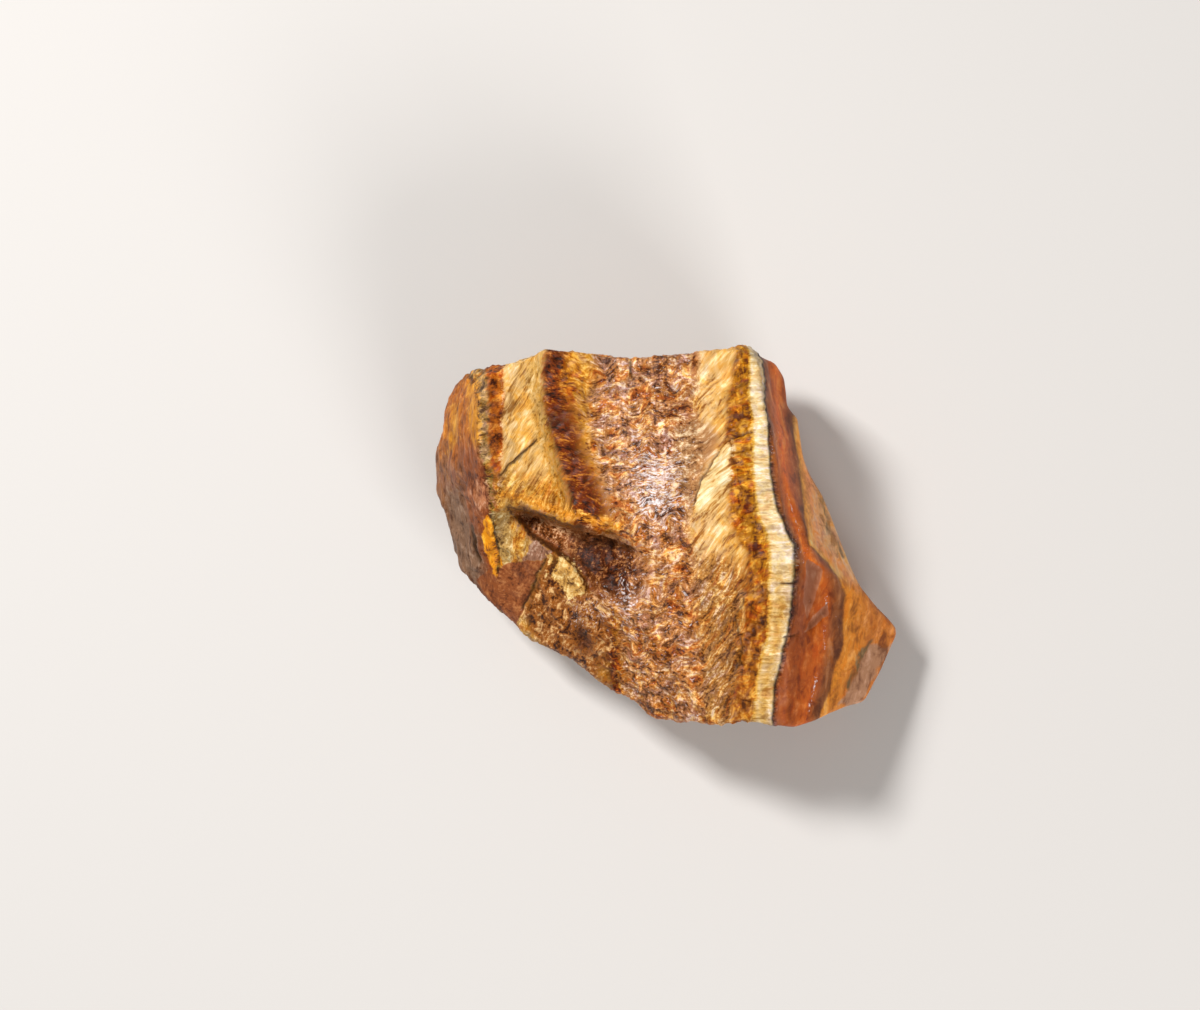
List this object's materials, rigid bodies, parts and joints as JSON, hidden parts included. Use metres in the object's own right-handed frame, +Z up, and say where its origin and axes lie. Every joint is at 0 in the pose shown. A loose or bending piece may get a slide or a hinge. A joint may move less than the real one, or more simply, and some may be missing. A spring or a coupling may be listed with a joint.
{
  "type": "rough tiger's eye stone",
  "caption": "Broken lump of fibrous golden brown banded quartz with jasper wall rock on one side, flat enough underneath to rest on a table.",
  "frame": {"origin": "under the middle of the lump, on the surface that it rests on", "axes": "+X across the colour bands, from the weathered wall to the jasper wall; +Y along the bands; +Z up, out of the fibrous break"},
  "size_m": [0.088, 0.0716, 0.041],
  "materials": {
    "tigers_eye": "silky fibrous break in golden brown bands, smooth waxy jasper on one wall"
  },
  "bodies": {
    "root": {"rough_tigers_eye": "tigers_eye"}
  },
  "joints": []
}
